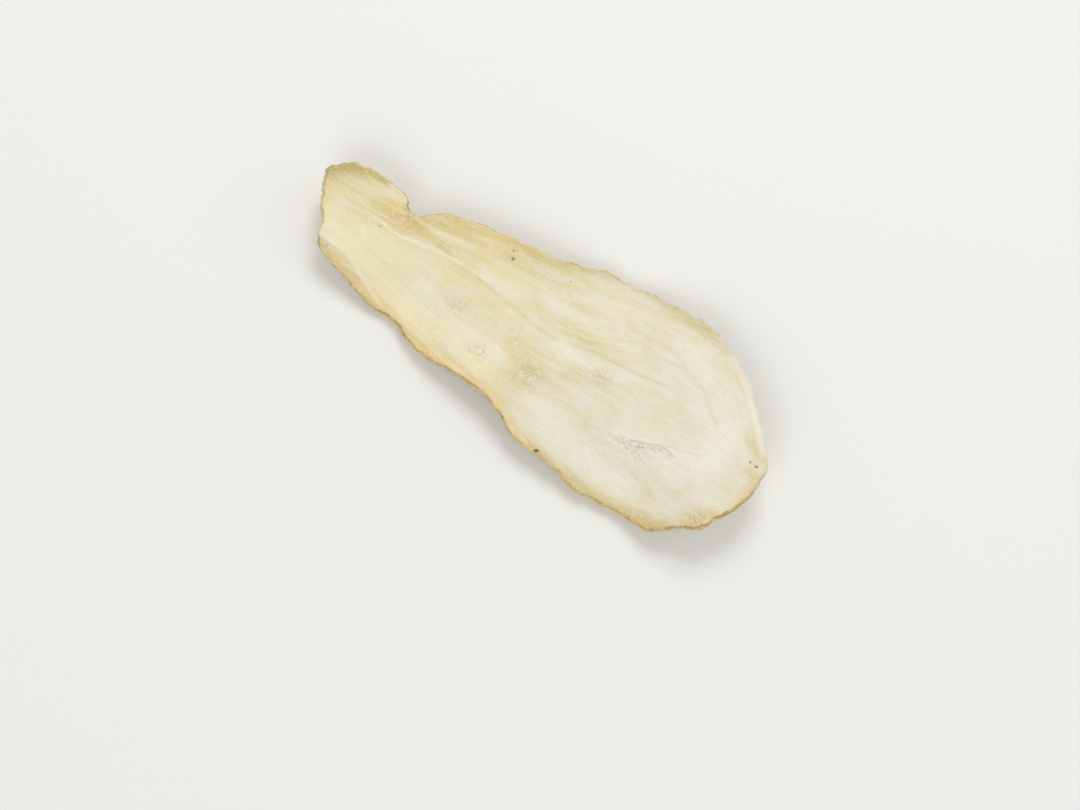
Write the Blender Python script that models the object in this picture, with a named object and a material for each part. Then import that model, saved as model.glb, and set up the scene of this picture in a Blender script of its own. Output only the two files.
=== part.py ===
# One dried slice of Solomon's seal root, cut lengthwise from the rhizome and curled in drying.
# Metres, +Z up. +X runs from the narrow, broken end to the broad, round end.
# The origin is on the surface that the slice lies on, under the middle of its box.

import math

import bmesh
import bpy
import numpy as np
from mathutils import Vector, geometry, noise

MM = 0.001

# The outline seen from above, in millimetres, anticlockwise.
LOWER_SIDE = (
    (3.1, -6.0), (5.5, -6.6), (8.0, -7.3), (10.5, -8.1), (13.0, -8.9), (16.0, -9.1),
    (18.5, -9.3), (20.0, -10.0), (22.0, -10.8), (25.0, -11.1), (28.5, -11.0), (32.0, -11.1),
    (34.5, -11.4), (36.5, -12.1), (38.3, -13.1), (39.8, -13.8), (41.5, -14.5), (44.0, -14.9),
    (47.0, -15.2), (50.0, -15.8), (52.5, -16.4), (55.0, -16.4), (60.0, -16.2), (63.0, -16.1),
    (65.2, -15.7), (67.0, -14.7), (69.0, -13.3), (71.1, -12.6),
)
BROAD_END = (
    (71.6, -11.6), (72.3, -10.4), (73.2, -8.8), (74.3, -6.6), (75.0, -4.0), (75.2, -1.8),
    (74.7, 0.3), (73.6, 2.0), (72.0, 3.9), (70.0, 6.0), (68.0, 8.0),
)
UPPER_SIDE = (
    (66.2, 9.8), (63.5, 11.2), (61.0, 12.4), (58.0, 13.3), (55.0, 13.6), (51.0, 13.7),
    (47.0, 13.8), (43.5, 13.5), (41.0, 13.3), (40.0, 13.6), (39.0, 12.8), (37.8, 12.3),
    (35.5, 11.6), (33.0, 10.9), (29.5, 10.5), (26.5, 10.1), (24.4, 9.5), (23.2, 9.8),
    (22.0, 9.5), (19.5, 9.2), (17.0, 8.6), (15.2, 7.6), (14.1, 6.6), (13.3, 5.6), (12.6, 5.9),
    (11.5, 6.1), (10.6, 7.1), (9.0, 7.5), (6.5, 7.5), (4.2, 7.8), (2.2, 7.4), (0.2, 6.3),
)
NARROW_END = (
    (-1.7, 4.6), (-1.2, 2.9), (-0.5, 1.2), (0.4, -0.5), (1.5, -2.1), (2.1, -3.5), (2.5, -4.9),
)

# The thickness of the slice, in millimetres.
THICKNESS = 1.7
THICKNESS_VARIES, THICKNESS_SEED = 0.2, 20.0
RIM_LIP = 0.2           # the skin shrinks less than the flesh, so the rim stands a little proud
RIM_LIP_WIDTH = 1.6
RIM_BULGE = 0.2         # the rim's wall is rounded outwards by this share of the thickness
RIM_REACH = 0.45        # the rounded, leaning rim reaches this far past the edge of the sheet
BITE = 0.3              # depth of the small bites along the torn skin
BITE_LENGTH, BITE_SEED = 2.4, 40.0

# The root's own sloping skin, which the cut left along the narrow third of the lower side, and the
# pared edge round the shoulder of the broad end. Both thin the slice from above towards its edge.
SLOPE_ROUND = 0.8       # under 1 a slope is steeper at its foot than at its crest
SKIN_SLOPE_WIDTH, SKIN_SLOPE_LEFT = 2.4, 0.45
SKIN_SLOPE_END = 22.0
LOWER_SHARE = 0.38      # the lower side's share of the outline
PARED_WIDTH, PARED_LEFT = 1.2, 0.8
PARED_FROM, PARED_OVER = 71.5, 3.0      # of along plus across

# The fibres fan out from the narrow end: half the slice's breadth and its middle line, in millimetres.
NARROW_HALF, BROAD_HALF, FAN_FROM, FAN_TO = 6.3, 15.3, -2.0, 60.0
MIDDLE, MIDDLE_DRIFT, LENGTH = 0.5, -3.5, 77.0

# The curl from drying, in millimetres.
DOME = 2.2              # the middle stands this much over the long sides
BROAD_CURL = 4.0        # rise of the broad end
BROAD_CURL_FROM, BROAD_CURL_OVER = 50.0, 26.0
BROAD_CURL_TURN = 0.35  # the broad end curls up more towards the upper side
NARROW_CURL = 3.0       # rise of the narrow end
NARROW_CURL_FROM, NARROW_CURL_OVER = 28.0, 29.0
NARROW_CURL_TWIST = 0.45
SIDE_WAVE = 0.6
LOWER_WAVE_LOW, LOWER_WAVE_LENGTH = 17.0, 40.0
UPPER_WAVE_LOW, UPPER_WAVE_LENGTH = 43.0, 46.0
BUCKLE, BUCKLE_LENGTH, BUCKLE_SEED = 0.5, 13.0, 0.0
FURROW, FURROW_LENGTH, FURROWS, FURROW_SEED = 0.16, 24.0, 4.5, 5.0

# The three places where the slice touches what it lies on, in outline millimetres.
FEET = ((17.5, -7.4), (57.0, -14.4), (43.0, 12.0))
FOOT_RADIUS = 6.0
CLEARANCE = 0.25        # the rest of the underside stays this far up or more
PRESS = 0.1             # how far a foot is pressed flat

# The triangles that the slice is shaped from, in millimetres.
CURVE_STEPS = 12        # steps between two of the outline's points, before it is spaced evenly
SPACING = 1.0
RINGS, RING_SPACING = 3, 0.8
CLEAR_OF_EACH_OTHER = 0.65
INSIDE_ONLY, MERGE = 1, 1e-5


def clear_scene():
    for obj in list(bpy.data.objects):
        bpy.data.objects.remove(obj, do_unlink=True)


def smooth_step(t):
    t = min(1.0, max(0.0, t))
    return t * t * (3.0 - 2.0 * t)


def noise_at(x, y, seed, length):
    return noise.noise(Vector((x / length, y / length, seed)))


def smooth_loop(points):
    """A closed Catmull-Rom curve through the points."""
    a, b, c, d = (np.roll(points, shift, axis=0)[:, None] for shift in (1, 0, -1, -2))
    t = np.linspace(0.0, 1.0, CURVE_STEPS, endpoint=False)[:, None]
    square, cube = 2 * a - 5 * b + 4 * c - d, 3 * b - a - 3 * c + d
    return (0.5 * (2 * b + (c - a) * t + square * t**2 + cube * t**3)).reshape(-1, 2)


def drawn_in(loop, distance):
    """The loop, moved inwards by a distance, or by one for each of its points."""
    ahead = np.roll(loop, -1, axis=0) - np.roll(loop, 1, axis=0)
    inwards = np.column_stack((-ahead[:, 1], ahead[:, 0])) / np.linalg.norm(ahead, axis=1)[:, None]
    return loop + inwards * np.reshape(distance, (-1, 1))


def evenly_spaced(loop):
    closed = np.vstack((loop, loop[:1]))
    run = np.append(0.0, np.cumsum(np.linalg.norm(np.diff(closed, axis=0), axis=1)))
    even = np.linspace(0.0, run[-1], round(run[-1] / SPACING), endpoint=False)
    return np.column_stack([np.interp(even, run, closed[:, k]) for k in (0, 1)])


def torn_outline():
    """The edge of the sheet: the outline less the rim's reach, with small bites taken out of it."""
    loop = smooth_loop(np.array(LOWER_SIDE + BROAD_END + UPPER_SIDE + NARROW_END))
    bites = [BITE * noise_at(x, y, BITE_SEED, BITE_LENGTH) for x, y in loop]
    return evenly_spaced(drawn_in(loop, RIM_REACH + np.array(bites)))


def distance_to(points, x, y):
    return np.hypot(*(np.asarray(points) - (x, y)).T).min()


def inner_points(outline):
    """Rings that follow the outline, then a honeycomb inside them, each point clear of those before it."""
    low, high = outline.min(axis=0), outline.max(axis=0)
    points = [point for ring in range(1, RINGS + 1) for point in drawn_in(outline, ring * RING_SPACING)]
    for row, y in enumerate(np.arange(low[1], high[1], SPACING * math.sqrt(3) / 2)):
        points += [(x, y) for x in np.arange(low[0] + row % 2 * SPACING / 2, high[0], SPACING)]
    kept = list(outline)
    for x, y in points:
        if distance_to(kept, x, y) > CLEAR_OF_EACH_OTHER * SPACING:
            kept.append((x, y))
    return kept[len(outline):]


def flat_sheet(outline):
    """The outline, filled with even triangles."""
    points = [Vector(point) for point in (*outline, *inner_points(outline))]
    edges = [(k, (k + 1) % len(outline)) for k in range(len(outline))]
    verts, _, faces, *_ = geometry.delaunay_2d_cdt(points, edges, [], INSIDE_ONLY, MERGE)
    mesh = bpy.data.meshes.new("root_slice")
    mesh.from_pydata([vert.to_3d() for vert in verts], [], faces)
    sheet = bmesh.new()
    sheet.from_mesh(mesh)
    stray = [vert for vert in sheet.verts if not vert.link_faces]
    bmesh.ops.delete(sheet, geom=stray, context="VERTS")
    return mesh, sheet


def half_breadth(x):
    return NARROW_HALF + (BROAD_HALF - NARROW_HALF) * smooth_step((x - FAN_FROM) / (FAN_TO - FAN_FROM))


def across(x, y):
    """Place across the fan of fibres: -1 on the lower side, 1 on the upper."""
    middle = MIDDLE + MIDDLE_DRIFT * (x / LENGTH) ** 3
    return (y - middle) / half_breadth(x)


def wave(x, low, length):
    """A wave of 0 to 2 that is 0 at low."""
    return 1 - math.cos(2 * math.pi * (x - low) / length)


def curl(x, y):
    """Height that drying gave the slice, before its small buckles."""
    side = across(x, y)
    dome = DOME * half_breadth(x) / BROAD_HALF * (1 - side**2)
    out = max(0.0, (x + BROAD_CURL_TURN * y - BROAD_CURL_FROM) / BROAD_CURL_OVER)
    back = max(0.0, (NARROW_CURL_FROM - x) / NARROW_CURL_OVER)
    ends = BROAD_CURL * out**2 + (NARROW_CURL + NARROW_CURL_TWIST * side) * back**2
    lower = wave(x, LOWER_WAVE_LOW, LOWER_WAVE_LENGTH) * (1 - side) ** 2 / 4
    upper = wave(x, UPPER_WAVE_LOW, UPPER_WAVE_LENGTH) * (1 + side) ** 2 / 4
    return dome + ends + SIDE_WAVE * (lower + upper)


def underside(x, y):
    """Height of the lower cut face at a place in the outline, in millimetres."""
    buckle = BUCKLE * (1 + noise_at(x, y, BUCKLE_SEED, BUCKLE_LENGTH))
    furrow = FURROW * noise.noise(Vector((x / FURROW_LENGTH, FURROWS * across(x, y), FURROW_SEED)))
    height = CLEARANCE + curl(x, y) + buckle + furrow
    for foot_x, foot_y in FEET:
        near = math.exp(-((x - foot_x) ** 2 + (y - foot_y) ** 2) / FOOT_RADIUS**2)
        height = height * (1 - near) - PRESS * near
    return height


def thickness(x, y, outline):
    """Thickness of the slice in millimetres, with its raised rim and its two slopes."""
    lower_edge = outline[:round(LOWER_SHARE * len(outline))]
    body = THICKNESS + THICKNESS_VARIES * noise_at(x, y, THICKNESS_SEED, BUCKLE_LENGTH)
    body += RIM_LIP * (1 - smooth_step(distance_to(outline, x, y) / RIM_LIP_WIDTH))
    skin = slope_loss(body - SKIN_SLOPE_LEFT, distance_to(lower_edge, x, y) / SKIN_SLOPE_WIDTH)
    pared = slope_loss(body - PARED_LEFT, distance_to(outline, x, y) / PARED_WIDTH)
    body -= skin * (1 - smooth_step(x / SKIN_SLOPE_END))
    return body - pared * smooth_step((x + y - PARED_FROM) / PARED_OVER)


def slope_loss(most, share):
    """What a slope takes off the thickness, at a share of its width in from the edge."""
    return most * (1 - min(1.0, share) ** SLOPE_ROUND)


def thicken(sheet, outline):
    """Grows the sheet upwards into a closed slice with a rounded rim. Returns the rim's faces."""
    rise = sheet.verts.layers.float_vector.new("rise")
    sheet.normal_update()
    for vert in sheet.verts:
        vert[rise] = vert.normal * thickness(vert.co.x, vert.co.y, outline)
    grown = bmesh.ops.extrude_face_region(sheet, geom=sheet.faces[:])["geom"]
    top = {part for part in grown if isinstance(part, bmesh.types.BMVert)}
    for vert in top:
        vert.co += Vector(vert[rise])
    walls = [edge for edge in sheet.edges if (edge.verts[0] in top) != (edge.verts[1] in top)]
    cut = bmesh.ops.subdivide_edges(sheet, edges=walls, cuts=1, use_grid_fill=True)["geom_inner"]
    middle = {part for part in cut if isinstance(part, bmesh.types.BMVert)}
    bmesh.ops.recalc_face_normals(sheet, faces=sheet.faces[:])
    sheet.normal_update()
    for vert in middle:
        vert.co += vert.normal * RIM_BULGE * Vector(vert[rise]).length
    return {face for vert in middle for face in vert.link_faces}


def rest_on_feet(sheet):
    """Presses the feet flat, and brings the origin under the middle of the box."""
    for vert in sheet.verts:
        vert.co.z = max(0.0, vert.co.z)
    low, high = ([pick(vert.co[k] for vert in sheet.verts) for k in range(3)] for pick in (min, max))
    middle = Vector(((low[0] + high[0]) / 2, (low[1] + high[1]) / 2, 0.0))
    bmesh.ops.translate(sheet, verts=sheet.verts[:], vec=-middle)
    bmesh.ops.scale(sheet, verts=sheet.verts[:], vec=(MM, MM, MM))


def dried_flesh():
    return principled("dried_flesh", (0.79, 0.72, 0.50), 0.75)


def root_skin():
    return principled("root_skin", (0.55, 0.37, 0.17), 0.85)


def principled(name, colour, roughness):
    material = bpy.data.materials.new(name)
    material.use_nodes = True
    shader = material.node_tree.nodes["Principled BSDF"]
    shader.inputs["Base Color"].default_value = (*colour, 1.0)
    shader.inputs["Roughness"].default_value = roughness
    shader.inputs["Metallic"].default_value = 0.0
    return material


def build_slice(collection):
    outline = torn_outline()
    mesh, sheet = flat_sheet(outline)
    for vert in sheet.verts:
        vert.co.z = underside(vert.co.x, vert.co.y)
    for face in thicken(sheet, outline):
        face.material_index = 1
    rest_on_feet(sheet)
    sheet.to_mesh(mesh)
    sheet.free()
    mesh.materials.append(dried_flesh())
    mesh.materials.append(root_skin())
    mesh.shade_smooth()
    collection.objects.link(bpy.data.objects.new("root_slice", mesh))


def main():
    clear_scene()
    collection = bpy.data.collections.new("solomons_seal_root")
    bpy.context.scene.collection.children.link(collection)
    build_slice(collection)


main()
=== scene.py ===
# Solomon's seal root: one dried slice, cut lengthwise, on a pale table.
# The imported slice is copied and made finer, carved with its fibres, wrinkles and torn rim, and painted.
import math
import bpy
import numpy as np
from mathutils import Matrix, Vector, kdtree, noise


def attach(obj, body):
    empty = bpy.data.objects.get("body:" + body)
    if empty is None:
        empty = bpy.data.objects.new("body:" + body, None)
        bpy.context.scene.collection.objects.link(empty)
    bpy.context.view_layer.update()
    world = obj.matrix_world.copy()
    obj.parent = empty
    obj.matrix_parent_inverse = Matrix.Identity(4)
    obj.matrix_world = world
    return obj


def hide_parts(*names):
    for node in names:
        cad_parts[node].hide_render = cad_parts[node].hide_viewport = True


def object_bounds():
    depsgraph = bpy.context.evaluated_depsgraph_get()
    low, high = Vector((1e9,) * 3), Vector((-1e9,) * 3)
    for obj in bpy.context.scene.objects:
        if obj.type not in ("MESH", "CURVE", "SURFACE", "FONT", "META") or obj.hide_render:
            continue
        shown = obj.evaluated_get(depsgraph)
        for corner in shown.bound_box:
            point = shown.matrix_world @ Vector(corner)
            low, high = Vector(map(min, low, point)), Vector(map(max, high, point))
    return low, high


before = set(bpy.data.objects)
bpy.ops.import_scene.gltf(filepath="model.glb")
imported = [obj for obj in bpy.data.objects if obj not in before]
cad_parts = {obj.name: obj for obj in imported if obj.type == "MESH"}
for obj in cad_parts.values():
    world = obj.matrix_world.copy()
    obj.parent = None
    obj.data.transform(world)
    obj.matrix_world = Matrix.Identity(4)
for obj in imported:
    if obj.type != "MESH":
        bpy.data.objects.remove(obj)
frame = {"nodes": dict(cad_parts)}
cadLow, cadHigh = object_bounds()
mm = 0.001
print("frame loaded:", ", ".join(frame["nodes"]))


def smoothStep(low, high, value):
    t = np.clip((np.asarray(value, float) - low) / (high - low), 0.0, 1.0)
    return t * t * (3.0 - 2.0 * t)


def plateau(rise, fall, value):   # 1 between the two, 0 outside them
    return smoothStep(*rise, value) * (1 - smoothStep(*fall, value))


def fading(distance, width):   # 1 at distance 0, a third of that at the width
    return np.exp(-(distance / width) ** 2)


def noiseOver(points, seed):   # smooth noise of about -0.7 to 0.7 at each row of three numbers
    shift = 31.7 * seed   # each seed reads another part of the noise
    return np.array([noise.noise((a + shift, b - shift, c + shift)) for a, b, c in points])


def ridged(values, sharpness=0.35):   # thin crests instead of round swells, -1 to 1
    return 1 - 2 * np.clip(abs(values) / sharpness, 0, 1)


def fromHex(code):   # sRGB hex to the linear colour that the shader takes
    parts = [int(code[k:k + 2], 16) / 255 for k in (1, 3, 5)]
    return (*[p / 12.92 if p <= 0.04045 else ((p + 0.055) / 1.055) ** 2.4 for p in parts], 1.0)


# The camera stands where the photographer stood: nearly overhead.
shot = {
    "azimuth": 31.3, "elevation": 81.0, "distance": 500,   # degrees, degrees, mm
    "tableAcross": 153.4,                                  # mm of table across the picture
    "aimRight": 1.0, "aimDown": 9.1, "aimHeight": 3.0,     # mm from the slice's middle to the picture's
    "pictureMiddle": (42.26, -8.54),                       # the same place, in mm along and across the slice
    "filmWidth": 36.0, "drawnFrom": 0.01, "drawnTo": 10,   # mm, metres, metres
}


def towards(azimuth, elevation):   # from the slice to a place round it
    a, e = math.radians(azimuth), math.radians(elevation)
    return Vector((math.sin(a) * math.cos(e), -math.cos(a) * math.cos(e), math.sin(e)))


def aimed(thing, spot, back):   # puts a camera or light at a spot, its back turned that way
    thing.location = spot
    thing.rotation_mode = "QUATERNION"
    thing.rotation_quaternion = (-back).to_track_quat("-Z", "Y")
    bpy.context.scene.collection.objects.link(thing)
    return thing


def makeCamera():
    data = bpy.data.cameras.new("camera")
    data.sensor_width = shot["filmWidth"]
    data.lens = shot["filmWidth"] * shot["distance"] / shot["tableAcross"]
    data.clip_start, data.clip_end = shot["drawnFrom"], shot["drawnTo"]
    a = math.radians(shot["azimuth"])
    right, down = Vector((math.cos(a), math.sin(a), 0)), Vector((math.sin(a), -math.cos(a), 0))
    aim = (right * shot["aimRight"] + down * shot["aimDown"] + Vector((0, 0, shot["aimHeight"]))) * mm
    back = towards(shot["azimuth"], shot["elevation"])
    return aimed(bpy.data.objects.new("camera", data), aim + back * shot["distance"] * mm, back)


camera = makeCamera()
bpy.context.scene.camera = camera


def asSeen(points):   # mm along and across the slice where the picture shows each point, so marks land there
    a = math.radians(shot["azimuth"])
    right = np.array((math.cos(a), math.sin(a), 0))
    back = np.array(towards(shot["azimuth"], shot["elevation"]))
    up = np.cross(back, right)
    away = points - np.array(camera.location) / mm
    nearer = shot["distance"] / -(away @ back)
    u, v = away @ right * nearer, away @ up * nearer
    middleX, middleY = shot["pictureMiddle"]
    return middleX + u * math.cos(a) - v * math.sin(a), middleY + u * math.sin(a) + v * math.cos(a)


# All that shapes and colours the slice. Lengths are in mm. Places are told along and across the slice from
# the middle of its narrow end, and those of marks on the upper face are where the picture shows them.
# Two numbers in brackets for an edge are where it begins and where it is full.
driedSlice = {
    "node": "root_slice",
    "narrowEnd": (-36.62, 1.33),                # its middle, in the frame

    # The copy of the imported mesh, which is loose triangles there.
    "mergeWithin": 0.01,
    "quadFlatness": 25, "quadSquareness": 60,   # degrees
    "cutEdge": 40, "cutEdgeCrease": 0.55,       # degrees; where a cut face meets the rim
    "finerRim": 0.35,                           # the rim and this much beside it get one more cut
    "finerPlaces": (                            # and so do these, for the crack and the specks: place, radius
        (54.0, -6.9, 1.5), (56.4, -6.3, 1.9), (59.2, -5.6, 2.1), (61.6, -5.3, 1.4), (9.7, 1.4, 0.6),
        (27.9, 7.7, 1.0), (72.5, 0.0, 1.1), (45.2, -14.4, 0.7), (38.7, -13.2, 1.0), (4.7, -4.9, 0.5),
        (66.8, 4.1, 0.4), (36.9, 8.7, 0.4),
    ),
    "steepest": 0.3,                            # how far up or down a normal points on the middle of the rim
    "steep": (0.35, 0.75),                      # and from the rim's side over to the cut faces
    "upward": (-0.1, 0.1),                      # and from the lower cut face to the upper one
    "offTable": (0.0, 0.25),                    # height over which the relief of the underside begins

    # How the fibres run: with the root, out into the broad end and together again along its shoulder.
    "fibreRun": {
        "narrowHalf": 6.3, "broadHalf": 15.3,   # half the root's breadth
        "widens": (-2, 60), "closes": (54, 79), "closedMost": 0.98,
        "middle": 0.5, "drift": -3.5, "length": 77,
        "dip": (38, 8, -2.2),                   # the middle fibres dip here: place, reach, depth
        "wander": (14, 1.6),                    # length and amount of their bends
    },

    # The skin is missing on the cut shoulder and on the broken narrow end, and it shows on the slope along
    # the narrow third of the lower side.
    "skin": {
        "paredFrom": (69.0, 73.5), "paredTo": (73.5, 76.5), "paredLean": 0.35, "paredWander": (1.3, 2.5),
        "brokenAlong": (2.2, 3.6), "brokenAcross": (-5.6, -4.4),
        "slopeCrest": ((-2, -3.9), (2.2, -4.2), (7.7, -4.9), (10, -6.2), (12.5, -7.4), (16, -8.6), (20, -9.3),
                       (24, -10.9)),
        "slopeEdge": (-0.2, 0.5), "slopeEnds": (19, 25), "slopeWander": (1.6, 0.5),
    },

    "carving": {
        "fibres": ((26, 4.4, 0.060), (12, 1.7, 0.022), (6, 0.85, 0.010)),   # length, width, height
        "fibreCrests": 0.3, "fibreSwells": 1.1,                             # their shares of that height
        "threads": ((18, 1.9, 0.022), (11, 1.1, 0.012)), "threadWidth": 0.09,   # length, spacing, height
        "hollows": ((5.0, 0.10), (2.2, 0.03)),                              # size, depth
        "crumple": ((1.1, 0.06), (0.5, 0.05)), "crumpledAllOver": 0.22,
        "fadesOnWall": 0.8,                                                 # the relief above, on the rim's side
        "fracture": ((0.7, 0.12), (0.3, 0.06)),                             # torn fibre ends of the broken end
        "bark": ((2.4, 0.45, 0.09), (0.9, 0.24, 0.045)),                    # rim wrinkles: length, width, height
        # deepGroove: the depth at which the painted shade in a bark groove is full
        "barkOnSlope": 0.5, "deepGroove": 0.09,                             # their share there; painted from 0 to this
        "pleats": (0.8, 3.2, 0.06),                                         # size along and up the rim, height
        "lips": ((0.25, 0.22, 0.06), (0.95, 0.4, -0.04)), "fewerOnSlope": 0.7,   # in from the rim, width, height
        "nicks": ((1.7, 0.20), (0.6, 0.06)),                                # the rim's small tears: length, depth
        "nickEdge": 0.45, "nickReach": 0.5, "fewerPared": 0.7,
    },

    # Crests and creases that show most: points along each, its width and its height, below 0 for the creases. Each is
    # also painted: a highlight along the crests and shade along the creases.
    "lines": (
        (((6.8, 2.2), (12.9, 1.6), (18.0, 2.4), (22.6, 2.8), (27.0, 2.6)), 0.26, 0.12),
        (((25.0, 2.3), (29.0, 1.7), (35.0, 0.8), (39.5, 0.5)), 0.26, -0.09),
        (((41.0, 1.1), (45.2, 1.9), (50.4, 2.2), (56.0, 2.9)), 0.26, -0.08),
        (((39.5, 2.0), (44.0, 2.6), (48.0, 2.9)), 0.20, -0.05),
        (((41.5, 2.0), (46.0, 2.8), (52.0, 3.2)), 0.28, 0.05),
        (((11.0, 5.6), (12.6, 4.4), (15.5, 3.8), (20.0, 3.3)), 0.40, -0.09),
        (((14.0, 5.2), (18.0, 5.6), (24.0, 7.0)), 0.32, -0.08),
        (((13.6, 4.9), (17.0, 4.8), (22.0, 5.6)), 0.28, 0.06),
        (((7.0, 0.3), (8.5, -1.0), (9.5, -2.0), (13.5, -2.3)), 0.24, 0.08),
        (((22.0, -9.0), (27.0, -10.2), (31.0, -10.6)), 0.22, 0.06),
        (((24.0, -7.6), (28.0, -8.6), (33.0, -9.6)), 0.26, 0.08),
        (((24.5, -8.6), (28.5, -9.6), (34.0, -10.5)), 0.24, -0.08),
        (((2.2, -4.0), (7.7, -4.4), (9.7, -5.4), (12.0, -6.6), (15.0, -8.1)), 0.28, 0.12),
        (((12.5, -8.4), (16.0, -8.9), (18.5, -9.0), (21.0, -10.0)), 0.22, -0.18),
        (((44.0, 9.5), (50.0, 10.2), (57.0, 9.4), (63.0, 6.2), (67.5, 2.6)), 0.40, 0.06),
        (((47.0, 7.6), (55.0, 7.6), (61.5, 5.0), (65.0, 2.0)), 0.35, -0.06),
        (((62.0, 8.8), (66.0, 5.4), (69.5, 1.8), (71.4, -1.5)), 0.35, 0.04),
        (((63.0, 10.0), (66.2, 7.9), (68.8, 5.2), (70.9, 2.9), (72.6, 0.9)), 0.18, -0.07),
    ),

    # A thin dry crack with a crumpled lip below it. Lengths along it count from its left end.
    "crack": {
        "points": ((53.6, -6.9), (54.8, -6.5), (55.7, -6.2), (57.0, -5.9), (58.1, -5.45), (59.1, -5.0),
                   (59.8, -4.75), (60.7, -4.62), (61.8, -4.85), (62.7, -5.4)),
        "width": 0.13, "depth": 0.13, "shake": (0.9, 0.10), "tapers": (1.5, 1.2),
        "gaps": 0.7, "gapEdge": (-0.3, 0.2), "wholeFrom": (4.1, 4.6), "wholeTo": (8.6, 9.4),
        # the lip is raised, and it is also painted as a highlight
        "lipAt": -0.36, "lipWidth": 0.20, "lipHeight": 0.10,
        "wrinkles": (0.34, 1.2, 0.08),          # spacing, length, depth
        "wrinklesFrom": (0, 0.15), "wrinklesTo": (0.3, 1.2), "wrinklesWander": (0.9, 0.5), "wrinklesTaper": 1,
        # the next is painted shade in the wrinkles' grooves
        "wrinkleShade": (0.08, 0.35, 0.8),       # from none to full, and its strength
    },
    "roughPatches": (   # middle, reach along and across, strength
        (38.6, -5.8, 2.6, 2.2, 1.0), (47.4, -0.8, 2.4, 1.8, 0.8), (24.8, -2.6, 2.6, 1.3, 0.7),
        (30.8, -6.5, 2.0, 1.1, 1.0), (43.4, 2.4, 2.2, 0.9, 0.6), (35.0, -2.6, 2.0, 1.2, 0.6),
        (57.0, -7.2, 3.4, 1.3, 0.7), (69.8, -11.2, 1.8, 2.0, 1.2), (33.0, 7.8, 4.0, 1.0, 0.5),
        (12.4, 4.4, 1.8, 1.5, 0.8),
    ),
    "specks": (   # small scars and bits of dark fibre: place, radius, depth, darkness
        (9.7, 1.4, 0.26, 0.12, 0.45), (27.7, 8.25, 0.20, 0.07, 0.45), (28.2, 7.25, 0.32, 0.12, 0.6),
        (36.9, 8.7, 0.18, 0.05, 0.4), (72.0, 0.0, 0.24, 0.10, 0.6), (73.05, -0.05, 0.26, 0.10, 0.65),
        (45.2, -14.4, 0.27, 0.14, 1.0), (38.4, -13.0, 0.22, 0.10, 0.8), (66.8, 4.1, 0.16, 0.05, 0.35),
        (4.7, -4.9, 0.2, 0.08, 0.45),
    ),
    "patchy": {   # what comes and goes along the slice: how much on average, how far it varies, over what length
        "threads": (0.6, 1.0, 4), "lines": (0.75, 0.5, 1.5), "lips": (0.7, 0.9, 2.0), "edging": (0.6, 0.8, 1.8),
        "flecks": (0.8, 0.6, 0.7), "yellowed": (0.8, 0.4, 6), "specks": (1.0, 0.8, 0.35),
    },

    # Painted as masks for the material: strokes, each with its points, width and strength.
    "strokes": {
        "warm": (
            (((3, -5), (8, -6.8), (14, -8.4), (17, -9)), 1.5, 1.0),
            (((16, -8.6), (21, -10.2), (26, -10.9), (32, -11.2), (37, -12.4)), 1.5, 1.0),
            (((9.6, 4.0), (12.2, 3.9), (15, 4.3)), 1.4, 1.0),
            (((17, 6.4), (24, 8.0), (30, 9.6), (37, 11.2)), 1.4, 0.5),
            (((35, -3.5), (38, -7.5)), 2.2, 0.35), (((69, -12.5), (71.5, -9.5)), 1.2, 0.8),
            (((-1, 3), (2.4, -4)), 1.2, 0.5), (((74.6, -2), (73.4, -7)), 0.9, 0.6),
            (((37, -12.6), (42, -14.6), (53, -16.2), (62, -16), (66, -15.2)), 1.1, 1.0),
        ),
        "straw": (
            (((-1, 5), (3.0, 7.2), (6, 7.2)), 1.6, 1.0), (((15, 6.4), (26, 8.4), (38, 11)), 2.5, 1.0),
            (((17, 4.6), (26, 6.6), (38, 8.6)), 1.8, 0.7), (((8, 3.2), (16, 3.9), (23, 5.0)), 2.2, 1.0),
            (((39, 10), (40.5, 7.4), (40, 4)), 3.0, 0.6), (((34, 3.4), (41, 3.0), (50, 2.4)), 1.2, 0.6),
            (((70.4, 2.4), (72.5, 0.4), (73.4, -1.2)), 1.5, 0.8), (((2, 3.2), (9, 3.0)), 2.0, 0.6),
            (((40, 12.2), (50, 12.4), (57, 12.4)), 1.5, 0.7), (((43, -3), (47, -1)), 1.6, 0.5),
            (((39.5, -4), (41, -9)), 2.4, 0.7), (((44, -6.6), (49, -7.6)), 1.4, 0.5),
            (((6, -6.4), (13, -8.2), (22, -9.6)), 1.5, 0.4), (((46, -14.2), (56, -15.0), (66, -14.0)), 1.2, 0.6),
        ),
        # a darker greenish skin tone, with painted shade laid in on the narrow end's corner and along the upper edge;
        # also darker along the lower edge
        "oliveAndShade": (
            (((-1.5, 4.8), (0.4, 6.4), (2.4, 7.4), (3.4, 7.6)), 1.8, 1.3), (((2.4, 7.2), (7, 7.4)), 0.9, 0.7),
            (((38, 11.5), (45, 13.2), (56, 13.0), (61, 11.8)), 0.9, 0.40), (((28, 8.8), (35, 10.2)), 1.4, 0.25),
            (((44, -14.7), (50, -15.5), (62, -15.6), (67, -14.2)), 1.1, 0.45),
        ),
        # painted light across the lower left, where the slice slopes down away from the lamps, with a paler tone of
        # the flesh
        "lightenedAndLit": (
            (((3, -2.5), (8, -3.4), (14, -4.8), (20, -6.4), (32, -7.4)), 2.3, 1.0),
            (((5, -5.4), (10, -7.0), (16, -8.2)), 1.0, 0.3), (((9, -1), (20, -2.0)), 2.0, 0.8),
        ),
        # whiter flesh, with painted light lifting the shade of the hollow at the lower right, and a painted highlight
        # on the lit crest line by the narrow end
        "whitenedAndHighlit": (
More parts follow.
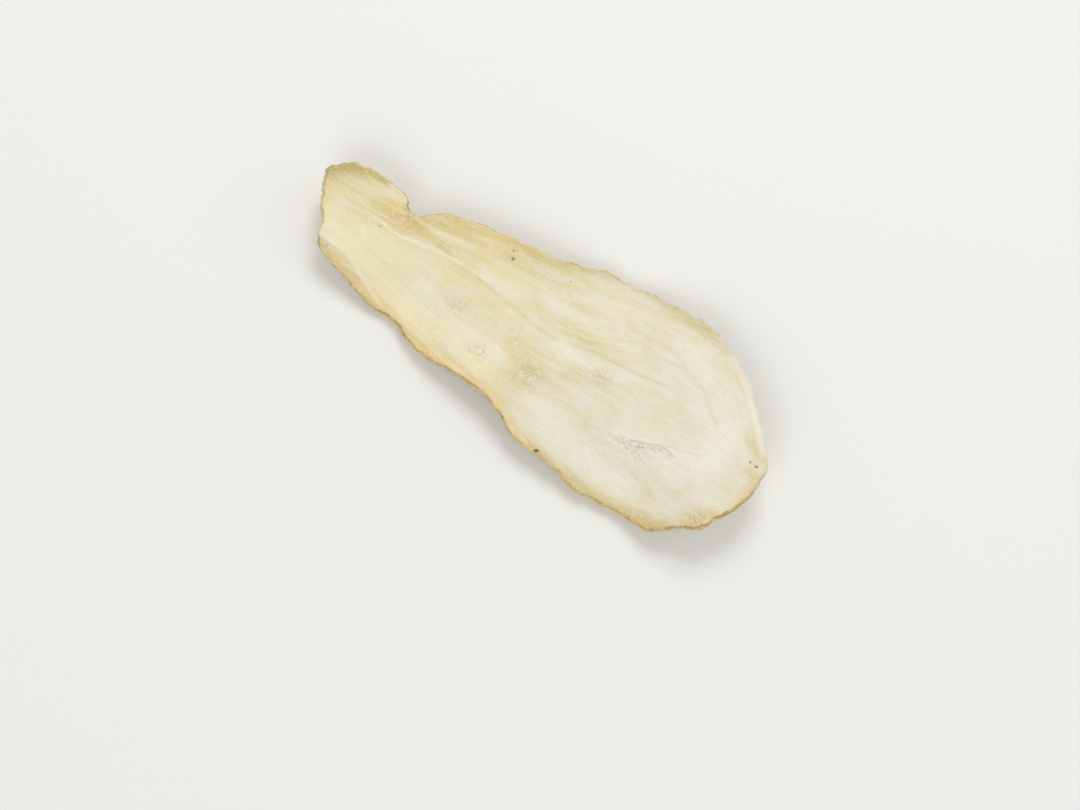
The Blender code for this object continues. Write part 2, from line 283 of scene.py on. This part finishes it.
            (((41, -9), (50, -11.5), (58, -12)), 2.6, 0.6), (((19, -3), (26, -4.5), (33, -5.6)), 1.8, 0.6),
            (((40, 0), (46, -0.2)), 1.4, 0.6), (((56, -7), (62, -6), (66, -4), (67.5, 1)), 3.2, 0.9),
            (((65.8, 9.3), (67.6, 7.5), (69.6, 5.5), (71.6, 3.5), (73.0, 2.0)), 0.5, 0.7),
            (((26, 3.2), (31, 3.0)), 1.0, 0.5), (((58, 8), (64, 4)), 2.0, 0.5),
            (((2.4, -3.9), (5.2, -4.2)), 0.30, 0.7),
        ),
        "flecks": (   # bits of skin left on the upper face
            (((37.7, -12.7), (39.6, -13.7)), 0.30, 0.9), (((70.6, -12.6), (71.9, -10.6)), 0.9, 0.6),
            (((39.4, 13.2), (40.6, 13.2)), 0.35, 0.8), (((12.6, 6.0), (13.6, 6.0)), 0.3, 0.7),
        ),
    },
    "barkOnSlope": 0.22,                        # how much of the bark's colour the slope takes
    "edging": 0.35, "lessPared": 0.8,           # breadth of the tinted edge, and how much less of it where pared
    "yellowedFades": (26, 46), "yellowedLean": 0.6, "yellowedWander": (7, 5),
    # how strong the highlight painted on crests and the shade painted in creases are, for each mm of height
    "paintedLightPerHeight": 9,                          # strength of a crest's or crease's tint for each mm of height

    "flesh": "#e6dec4",
    # Noise patterns: read in place or along the fibres, size, detail, its weight and what is added to it
    # (a number or a painted mask), then the values that count as none and as full.
    "patterns": {
        "clouds": ("place", (5.5, 5.5, 5.5), 4, 1, 0, 0.38, 0.64),
        "mottle": ("place", (2.3, 2.3, 2.3), 4, 1, 0, 0.42, 0.68),
        "greenMottle": ("fibre", (4.5, 1.5, 2.2), 4, 1, 0, 0.44, 0.72),
        "blush": ("place", (1.4, 1.4, 1.4), 3, 1, 0, 0.50, 0.70),
        "greenSpots": ("fibre", (2.2, 1.1, 1.5), 3, 1, 0, 0.52, 0.74),
        "drifts": ("fibre", (22, 4.5, 8), 2, 1, 0, 0.46, 0.72),
        "streaks": ("fibre", (13, 1.6, 2.6), 3, 1, 0, 0.35, 0.68),
        "fibres": ("fibre", (6, 0.42, 0.7), 3, 1, 0, 0.35, 0.75),       # vessel bundles, drawn coarser to show
        "paleThreads": ("fibre", (18, 1.9, 3.0), 1, 1, -0.5, 0.022, 0.0),
        "darkThreads": ("fibre", (13, 1.3, 2.2), 1, 1, -0.52, 0.024, 0.0),
        "meal": ("place", (0.30, 0.30, 0.30), 2, 1, 0, 0.45, 0.75),     # starch grains, drawn coarser to show
        "grit": ("place", (0.15, 0.15, 0.15), 1, 1, 0, 0.2, 0.8),
        "crumbs": ("place", (0.55, 0.55, 0.55), 4, 1, 0, 0.4, 0.7),
        "barky": ("place", (0.7, 0.7, 0.7), 4, 0.5, "bark", 0.55, 1.0),
        "rimmed": ("place", (1.2, 1.2, 1.2), 4, 0.8, "edging", 0.75, 1.25),
        "barkStreaks": ("fibre", (2.2, 0.8, 0.5), 3, 1, 0, 0.42, 0.72),
        "barkFlecks": ("place", (0.8, 0.8, 0.5), 4, 1, 0, 0.60, 0.72),
        "scar": ("place", (0.3, 0.3, 0.3), 2, 0.2, "speck", 0.20, 0.55),
        "darkScar": ("place", (0.3, 0.3, 0.3), 2, 0.2, "speck", 0.55, 0.95),
    },
    # Painted masks that are used as they are.
    # these hold painted light and shade too: the highlight on crests, and the shade of the creases, the crack, the
    # bark grooves and some strokes
    "masks": ("yellowed", "warm", "straw", "oliveAndShade", "lightenedAndLit", "whitenedAndHighlit", "crumpled", "crackShade", "crestHighlight",
              "creaseShade", "grooveShade"),
    # Colours laid over the flesh in turn: the colour, its strength, the patterns and masks it shows through.
    # Some of these lay painted light and shade: a highlight on the crests, shade in the creases, the crack and the
    # bark's deep grooves, and the light and shade laid in with three of the strokes' masks.
    "layers": (
        ("#ebe6d3", 1.00, ("clouds",)), ("#ecd9a4", 0.85, ("yellowed",)),
        ("#e6d49c", 0.30, ("drifts", "yellowed")), ("#f1e3d6", 0.60, ("mottle",)),
        ("#dcd69e", 0.34, ("greenMottle",)), ("#f0dfd0", 0.36, ("blush",)), ("#d6d48e", 0.36, ("greenSpots",)),
        ("#dfd6a0", 0.28, ("drifts", "streaks")), ("#e8c67c", 0.72, ("warm",)),
        ("#dcae56", 0.60, ("warm", "streaks")), ("#d5c47e", 0.90, ("straw", "streaks")),
        # a darker skin tone with painted shade, then paler tones with painted light and painted highlights
        ("#b8a562", 0.85, ("oliveAndShade",)), ("#f6eac4", 0.85, ("lightenedAndLit",)), ("#f4f0e2", 0.92, ("whitenedAndHighlit",)),
        ("#d3c58f", 0.15, ("fibres",)), ("#f3edd9", 0.30, ("paleThreads", "streaks")),
        # painted highlight on the crests (end of this line); painted shade in the creases (start of the next)
        ("#cbbd84", 0.24, ("darkThreads", "drifts")), ("#f4f0e4", 0.28, ("meal",)), ("#f5eed2", 0.72, ("crestHighlight",)),
        ("#cdc188", 0.55, ("creaseShade",)), ("#dac892", 0.42, ("crumpled", "crumbs")),
        # painted shade in the crack (third on this line)
        ("#f6f1e0", 0.40, ("crumpled", "meal")), ("#b5ab8c", 0.46, ("crackShade",)), ("#e2ca88", 0.65, ("rimmed",)),
        ("#ead398", 1.00, ("barky",)), ("#cfac66", 0.60, ("barky", "barkStreaks")),
        # painted shade in the bark's deep grooves (first on this line)
        ("#ae8a4e", 0.60, ("barky", "grooveShade")), ("#7e5e2c", 0.62, ("barky", "barkFlecks")),
        ("#9b9058", 0.85, ("scar",)), ("#4a3a18", 0.95, ("darkScar",)),
    ),
    # Relief too fine or too slight for the mesh: its height, and the patterns and masks that hold it.
    "relief": (
        (0.013, ("fibres",)), (0.018, ("meal",)), (0.009, ("grit",)), (0.012, ("paleThreads",)),
        (-0.008, ("darkThreads",)), (0.10, ("barky", "crumbs")), (0.12, ("crumpled", "crumbs")),
        (0.025, ("mottle",)), (0.02, ("crumbs",)),
    ),
    "mealyRoughness": 0.78, "fibreRoughness": 0.58, "specular": 0.4,
    "subsurface": 0.08, "subsurfaceDepth": 0.5, "subsurfaceRadius": (1.0, 0.7, 0.4),
}


def subdivided(piece):
    finer = piece.modifiers.new("finer", "SUBSURF")
    finer.levels = finer.render_levels = 1
    bpy.ops.object.modifier_apply(modifier="finer")


def readRows(data, what):
    values = np.zeros(len(data) * 3, np.float32)
    data.foreach_get(what, values)
    return values.reshape(-1, 3).astype(float)


def fromRim(points, normals):   # how far in from the rim, seen from above, and the rim's outward direction there
    rim = np.flatnonzero(abs(normals[:, 2]) < driedSlice["steepest"])
    tree = kdtree.KDTree(len(rim))
    for k in rim:
        tree.insert((points[k, 0], points[k, 1], 0.0), int(k))
    tree.balance()
    found = [tree.find((a, b, 0.0)) for a, b, c in points]
    outward = normals[[index for spot, index, far in found]] * (1, 1, 0)
    return np.array([far for spot, index, far in found]), outward / np.linalg.norm(outward, axis=1)[:, None]


def makeSlice(shape):
    piece = bpy.data.objects.new("dried_slice", frame["nodes"][shape["node"]].data.copy())
    bpy.context.scene.collection.objects.link(piece)
    piece.data.materials.clear()
    bpy.ops.object.select_all(action="DESELECT")
    piece.select_set(True)
    bpy.context.view_layer.objects.active = piece
    bpy.ops.mesh.customdata_custom_splitnormals_clear()
    bpy.ops.object.mode_set(mode="EDIT")
    bpy.ops.mesh.select_mode(type="EDGE")
    bpy.ops.mesh.select_all(action="SELECT")
    bpy.ops.mesh.remove_doubles(threshold=shape["mergeWithin"] * mm)
    bpy.ops.mesh.tris_convert_to_quads(
        face_threshold=math.radians(shape["quadFlatness"]), shape_threshold=math.radians(shape["quadSquareness"]))
    bpy.ops.mesh.select_all(action="DESELECT")
    bpy.ops.mesh.edges_select_sharp(sharpness=math.radians(shape["cutEdge"]))
    bpy.ops.transform.edge_crease(value=shape["cutEdgeCrease"])
    bpy.ops.mesh.select_mode(type="FACE")
    bpy.ops.mesh.select_all(action="DESELECT")
    bpy.ops.object.mode_set(mode="OBJECT")
    subdivided(piece)

    faces = piece.data.polygons
    middles, normals = readRows(faces, "center") / mm, readRows(faces, "normal")
    chosen = fromRim(middles, normals)[0] < shape["finerRim"]
    seenX, seenY = asSeen(middles)
    for spotX, spotY, radius in shape["finerPlaces"]:
        chosen |= (np.hypot(seenX - spotX, seenY - spotY) < radius) & (normals[:, 2] > 0)
    faces.foreach_set("select", chosen)
    bpy.ops.object.mode_set(mode="EDIT")
    bpy.ops.mesh.subdivide(number_cuts=1, quadcorner="STRAIGHT_CUT", smoothness=0)
    bpy.ops.object.mode_set(mode="OBJECT")
    subdivided(piece)
    bpy.ops.object.shade_smooth()
    return piece


dried = makeSlice(driedSlice)
mesh = dried.data
count = len(mesh.vertices)
print("slice copied and made finer:", sum(len(face.vertices) - 2 for face in mesh.polygons), "triangles")

# Read once for every vertex: where it is in the frame, along and across the slice and in the picture.
place, normal = readRows(mesh.vertices, "co") / mm, readRows(mesh.vertices, "normal")
x, y = place[:, 0] - driedSlice["narrowEnd"][0], place[:, 1] - driedSlice["narrowEnd"][1]
z = place[:, 2].copy()
seenX, seenY = asSeen(place)
facesUp = smoothStep(*driedSlice["upward"], normal[:, 2])        # 1 on the upper cut face, 0 on the lower one
wall = 1 - smoothStep(*driedSlice["steep"], abs(normal[:, 2]))   # 1 on the rim's side
inFromRim, outward = fromRim(place, normal)


def evenNoise(size, seed):
    return noiseOver(np.column_stack((x, y, z)) / size, seed)


def patchy(name, seed):
    average, amount, size = driedSlice["patchy"][name]
    return average + amount * evenNoise(size, seed)


def fibrePlace(run):   # mm along the fibres, and across them from -broadHalf to broadHalf
    half = run["narrowHalf"] + (run["broadHalf"] - run["narrowHalf"]) * smoothStep(*run["widens"], x)
    start, end = run["closes"]
    half = half * np.sqrt(1 - np.clip((x - start) / (end - start), 0, run["closedMost"]) ** 2)
    middle = run["middle"] + run["drift"] * (x / run["length"]) ** 3
    side = np.clip((y - middle) / half, -1, 1)
    at, reach, depth = run["dip"]
    dip = depth * fading(x - at, reach) * (1 - side ** 2)
    length, amount = run["wander"]
    wander = amount * noiseOver(np.column_stack((x, 2 * y, 0 * x)) / length, seed=2)
    return x, (y - middle - dip + wander) / half * run["broadHalf"]


along, across = fibrePlace(driedSlice["fibreRun"])


def fibreNoise(length, width, seed):   # streaks of that length and width in mm, twice as tall as wide
    return noiseOver(np.column_stack((along / length, across / width, z / width / 2)), seed)


def besideLine(points):   # for each place as seen: mm along the line, mm beside it (to its left above 0), length
    nearest, run, side = np.full(count, np.inf), np.zeros(count), np.zeros(count)
    length = 0.0
    for (ax, ay), (bx, by) in zip(points, points[1:]):
        step = math.hypot(bx - ax, by - ay)
        forward = ((seenX - ax) * (bx - ax) + (seenY - ay) * (by - ay)) / step
        leftward = ((seenY - ay) * (bx - ax) - (seenX - ax) * (by - ay)) / step
        t = np.clip(forward, 0, step)
        far = np.hypot(forward - t, leftward)
        closer = far < nearest
        nearest[closer], run[closer] = far[closer], (length + t)[closer]
        side[closer] = (np.where(leftward < 0, -1, 1) * far)[closer]
        length += step
    return run, side, length


def strokeOver(points, width):   # 1 on a line through the points, on the upper face
    return facesUp * fading(besideLine(points)[1], width)


def strokesOver(strokes):   # each is its points, its width and its strength
    return np.max([strength * strokeOver(points, width) for points, width, strength in strokes], axis=0)


def findSkin(skin):   # where it is pared off, where it is broken off, and where it slopes up over the face
    size, amount = skin["paredWander"]
    pared = smoothStep(*skin["paredFrom"], x + y + amount * evenNoise(size, seed=4))
    pared *= 1 - smoothStep(*skin["paredTo"], x - skin["paredLean"] * y)
    broken = (1 - smoothStep(*skin["brokenAlong"], x)) * smoothStep(*skin["brokenAcross"], y)
    crestX, crestY = zip(*skin["slopeCrest"])
    size, amount = skin["slopeWander"]
    slope = smoothStep(*skin["slopeEdge"], np.interp(x, crestX, crestY) - y + amount * evenNoise(size, seed=3))
    return pared, broken, slope * facesUp * (1 - smoothStep(*skin["slopeEnds"], x))


def findCrumple(patches):
    crumple = np.zeros(count)
    for middleX, middleY, reachX, reachY, strength in patches:
        inPatch = fading(seenX - middleX, reachX) * fading(seenY - middleY, reachY)
        crumple = np.maximum(crumple, strength * inPatch * facesUp)
    return crumple


pared, broken, skinSlope = findSkin(driedSlice["skin"])
crumple = findCrumple(driedSlice["roughPatches"])
uneven = patchy("lines", seed=5)


def carveFaces(carving):
    lift = np.zeros(count)
    for k, (length, width, height) in enumerate(carving["fibres"]):
        swell = fibreNoise(length, width, seed=11 + k)
        lift += height * (carving["fibreCrests"] * ridged(swell) + carving["fibreSwells"] * swell)
    for k, (length, width, height) in enumerate(carving["threads"]):
        thread = 1 - smoothStep(0, carving["threadWidth"], abs(fibreNoise(length, width, seed=15 + k)))
        lift += height * thread * patchy("threads", seed=17)
    for k, (size, height) in enumerate(carving["hollows"]):
        lift += height * evenNoise(size, seed=21 + k)
    for points, width, height in driedSlice["lines"]:
        lift += height * uneven * strokeOver(points, width)
    for k, (size, height) in enumerate(carving["crumple"]):
        lift += np.maximum(crumple, carving["crumpledAllOver"]) * height * ridged(evenNoise(size, seed=24 + k))
    for spotX, spotY, radius, depth, dark in driedSlice["specks"]:
        lift -= facesUp * depth * fading(np.hypot(seenX - spotX, seenY - spotY), radius)
    lift *= 1 - carving["fadesOnWall"] * wall
    for k, (size, height) in enumerate(carving["fracture"]):
        lift += wall * broken * height * ridged(evenNoise(size, seed=27 + k))
    return lift


# Its darkness is painted shade in the groove and between the wrinkles; its lip is also painted as a highlight.
def carveCrack(crack):   # gives its relief, how dark it is at each place, and its lip
    run, side, length = besideLine(crack["points"])
    size, amount = crack["shake"]
    shaky = side + amount * evenNoise(size, seed=31)
    gaps = noiseOver(np.column_stack((run / crack["gaps"], 0 * run, 0 * run)), seed=32)
    present = smoothStep(*crack["gapEdge"], gaps)
    present = np.maximum(present, plateau(crack["wholeFrom"], crack["wholeTo"], run))
    first, last = crack["tapers"]
    present *= plateau((0, first), (length - last, length), run) * facesUp
    groove = present * fading(shaky, crack["width"])
    lip = present * fading(shaky - crack["lipAt"], crack["lipWidth"])
    size, amount = crack["wrinklesWander"]
    below = -side + amount * evenNoise(size, seed=33)
    wrinkled = facesUp * smoothStep(*crack["wrinklesFrom"], -side) * (1 - smoothStep(*crack["wrinklesTo"], below))
    taper = crack["wrinklesTaper"]
    wrinkled *= plateau((0, taper), (length - taper, length), run)
    spacing, reach, depth = crack["wrinkles"]
    wrinkles = noiseOver(np.column_stack((run / spacing, side / reach, 0 * run)), seed=34)
    lift = crack["lipHeight"] * lip - crack["depth"] * groove + depth * wrinkled * ridged(wrinkles)
    none, full, strength = crack["wrinkleShade"]
    return lift, np.maximum(groove, strength * wrinkled * smoothStep(none, full, abs(wrinkles))), lip


# Its deep grooves are given as painted shade.
def carveRim(carving):   # gives its relief, and its deep grooves
    lift = np.zeros(count)
    for k, (length, width, height) in enumerate(carving["bark"]):
        wrinkle = noiseOver(np.column_stack((x / length, y / length, z / width)), seed=41 + k)
        lift += np.maximum(wall * (1 - broken), carving["barkOnSlope"] * skinSlope) * height * ridged(wrinkle)
    grooves = smoothStep(0, carving["deepGroove"], -lift)
    size, tall, height = carving["pleats"]
    pleated = noiseOver(np.column_stack((x / size, y / size, z / tall)), seed=45)
    lift += np.maximum(wall, skinSlope) * height * pleated
    lipped = patchy("lips", seed=46) * facesUp * (1 - pared) * (1 - carving["fewerOnSlope"] * skinSlope)
    for at, width, height in carving["lips"]:
        lift += lipped * height * fading(inFromRim - at, width)
    return lift, grooves


def tearRim(carving):   # how far the rim draws in
    torn = np.zeros(count)
    for k, (length, depth) in enumerate(carving["nicks"]):
        tear = noiseOver(np.column_stack((x, y, 0 * x)) / length, seed=51 + k)
        torn += depth * smoothStep(0, carving["nickEdge"], tear)
    return torn * fading(inFromRim, carving["nickReach"]) * (1 - carving["fewerPared"] * pared)


crackLift, crackShade, crackLipHighlight = carveCrack(driedSlice["crack"])
rimLift, barkGrooveShade = carveRim(driedSlice["carving"])
offTable = smoothStep(*driedSlice["offTable"], z)   # the underside stays flat where it lies on the table
lift = carveFaces(driedSlice["carving"]) + crackLift + rimLift
place += normal * (lift * np.maximum(offTable, facesUp))[:, None]
place -= outward * (tearRim(driedSlice["carving"]) * offTable)[:, None]
place[:, 2] = np.maximum(place[:, 2], 0.0)
place = np.clip(place, np.array(cadLow) / mm, np.array(cadHigh) / mm)
mesh.vertices.foreach_set("co", (place * mm).astype(np.float32).ravel())
mesh.update()
print("carved")


def paint(name, values):
    values = np.clip(values, 0, 1).astype(np.float32)
    mesh.attributes.new(name, "FLOAT", "POINT").data.foreach_set("value", values)


def paintSlice(shape):
    strokes = shape["strokes"]
    # the last two of these also hold painted shade and painted light
    for name in ("warm", "straw", "oliveAndShade", "lightenedAndLit"):
        paint(name, strokesOver(strokes[name]))
    # whiter tone and painted light from the strokes, and a painted highlight on the crack's lip
    paint("whitenedAndHighlit", np.maximum(strokesOver(strokes["whitenedAndHighlit"]), crackLipHighlight))

    bark = np.maximum(wall * (1 - pared) * (1 - broken), shape["barkOnSlope"] * skinSlope)
    paint("bark", np.maximum(bark, strokesOver(strokes["flecks"]) * patchy("flecks", seed=6)))
    # painted shade in the bark's deep grooves
    paint("grooveShade", barkGrooveShade)
    edging = fading(inFromRim, shape["edging"]) * (1 - shape["lessPared"] * pared)
    paint("edging", edging * patchy("edging", seed=7))

    size, amount = shape["yellowedWander"]   # the narrow end is yellower
    broadwards = x + shape["yellowedLean"] * y + amount * evenNoise(size, seed=13)
    paint("yellowed", (1 - smoothStep(*shape["yellowedFades"], broadwards)) * patchy("yellowed", seed=14))

    # painted highlight along the crests and painted shade along the creases
    for name, sign in (("crestHighlight", 1), ("creaseShade", -1)):
        chosen = [(points, width, sign * height * shape["paintedLightPerHeight"])
                  for points, width, height in shape["lines"] if sign * height > 0]
        paint(name, strokesOver(chosen) * uneven)
    paint("crumpled", np.maximum(crumple, wall * broken))
    # painted shade in the crack's groove and in the wrinkles below it
    paint("crackShade", crackShade)
    speckled = np.zeros(count)
    ragged = patchy("specks", seed=61)
    for spotX, spotY, radius, depth, dark in shape["specks"]:
        far = np.hypot(seenX - spotX, seenY - spotY)
        speckled = np.maximum(speckled, dark * fading(far, radius * ragged))
    paint("speck", speckled * facesUp)

    fibreAt = mesh.attributes.new("fibre", "FLOAT_VECTOR", "POINT")
    fibreAt.data.foreach_set("vector", np.column_stack((along, across, z)).astype(np.float32).ravel())


paintSlice(driedSlice)
print("painted")


def addNode(tree, kind, inputs=None, output=0, **settings):   # sets or links its inputs too, and gives an output
    node = tree.nodes.new(kind)
    for name, value in settings.items():
        setattr(node, name, value)
    for socket, value in (inputs or {}).items():
        if isinstance(value, bpy.types.NodeSocket):
            tree.links.new(value, node.inputs[socket])
        else:
            node.inputs[socket].default_value = value
    return node.outputs[output]


def driedFlesh(look):
    # Dried starchy root flesh, sliced, in a rim of bark: cream and straw, mostly matt with a faint waxy gleam
    # along its fibres, and tan and wrinkled where the bark is left.
    material = bpy.data.materials.new("dried_starchy_flesh_and_bark")
    material.use_nodes = True
    tree = material.node_tree
    shader = tree.nodes["Principled BSDF"]
    objectPlace = addNode(tree, "ShaderNodeTexCoord", output="Object")
    read = {
        "place": addNode(tree, "ShaderNodeMapping", {"Vector": objectPlace, "Scale": (1 / mm, 1 / mm, 1 / mm)}),
        "fibre": addNode(tree, "ShaderNodeAttribute", output="Vector", attribute_name="fibre"),
    }
    found = {name: addNode(tree, "ShaderNodeAttribute", output="Fac", attribute_name=name)
             for name in look["masks"]}
    for name, (where, size, detail, weight, added, none, full) in look["patterns"].items():
        if isinstance(added, str):
            added = addNode(tree, "ShaderNodeAttribute", output="Fac", attribute_name=added)
        scaled = addNode(tree, "ShaderNodeMapping", {"Vector": read[where], "Scale": [1 / s for s in size]})
        value = addNode(tree, "ShaderNodeTexNoise", {"Vector": scaled, "Scale": 1.0, "Detail": detail})
        value = addNode(tree, "ShaderNodeMath", {0: value, 1: weight, 2: added}, operation="MULTIPLY_ADD")
        value = addNode(tree, "ShaderNodeMath", {0: value}, operation="ABSOLUTE")
        found[name] = addNode(
            tree, "ShaderNodeMapRange", {0: value, 1: none, 2: full}, interpolation_type="SMOOTHSTEP")

    colour = fromHex(look["flesh"])
    for code, amount, holders in look["layers"]:
        for holder in holders:
            amount = addNode(tree, "ShaderNodeMath", {0: amount, 1: found[holder]}, operation="MULTIPLY")
        colour = addNode(
            tree, "ShaderNodeMix", {0: amount, 6: colour, 7: fromHex(code)}, output=2, data_type="RGBA")
    tree.links.new(colour, shader.inputs["Base Color"])

    total = 0.0
    for height, holders in look["relief"]:
        for holder in holders:
            height = addNode(tree, "ShaderNodeMath", {0: height, 1: found[holder]}, operation="MULTIPLY")
        total = addNode(tree, "ShaderNodeMath", {0: total, 1: height}, operation="ADD")
    bump = addNode(tree, "ShaderNodeBump", {"Height": total, "Strength": 1.0, "Distance": mm})
    tree.links.new(bump, shader.inputs["Normal"])

    rough = addNode(tree, "ShaderNodeMapRange",
                    {0: found["fibres"], 3: look["mealyRoughness"], 4: look["fibreRoughness"]})
    tree.links.new(rough, shader.inputs["Roughness"])
    shader.inputs["Specular IOR Level"].default_value = look["specular"]
    shader.inputs["Subsurface Weight"].default_value = look["subsurface"]
    shader.inputs["Subsurface Radius"].default_value = look["subsurfaceRadius"]
    shader.inputs["Subsurface Scale"].default_value = look["subsurfaceDepth"] * mm
    return material


dried.data.materials.append(driedFlesh(driedSlice))
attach(dried, "root")
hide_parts("root_slice")
print("slice finished")

paleTable = {"size": 3.0, "drop": 0.02, "colour": "#f0efec", "roughness": 0.95}   # metres, mm below the slice


def makeTable(look):
    bpy.ops.object.select_all(action="DESELECT")
    bpy.ops.mesh.primitive_plane_add(size=look["size"])
    table = bpy.context.object
    table.name = "table"
    table.data.transform(Matrix.Translation((0, 0, -look["drop"] * mm)))
    material = bpy.data.materials.new("pale_card")   # uncoated card: matt, no gloss
    material.use_nodes = True
    shader = material.node_tree.nodes["Principled BSDF"]
    shader.inputs["Base Color"].default_value = fromHex(look["colour"])
    shader.inputs["Roughness"].default_value = look["roughness"]
    table.data.materials.append(material)


makeTable(paleTable)

studio = {
    "skyColour": "#f5f6f4", "skyStrength": 0.54,
    "lights": (   # degrees round from the camera's side, degrees up, metres away, size in metres, watts
        ("key", 165, 50, 0.7, 0.3, 1.9), ("side", 100, 35, 0.8, 0.5, 0.6), ("front", -25, 45, 0.9, 0.6, 2.2),
    ),
}


def makeLights(look):
    for name, azimuth, elevation, distance, size, watts in look["lights"]:
        data = bpy.data.lights.new(name, "AREA")
        data.size, data.energy = size, watts
        back = towards(shot["azimuth"] + azimuth, elevation)
        aimed(bpy.data.objects.new(name, data), back * distance, back)
    world = bpy.data.worlds.new("studio")
    world.use_nodes = True
    background = world.node_tree.nodes["Background"]
    background.inputs["Color"].default_value = fromHex(look["skyColour"])
    background.inputs["Strength"].default_value = look["skyStrength"]
    bpy.context.scene.world = world
    bpy.context.scene.view_settings.view_transform = "Standard"


makeLights(studio)
print("table and light set")
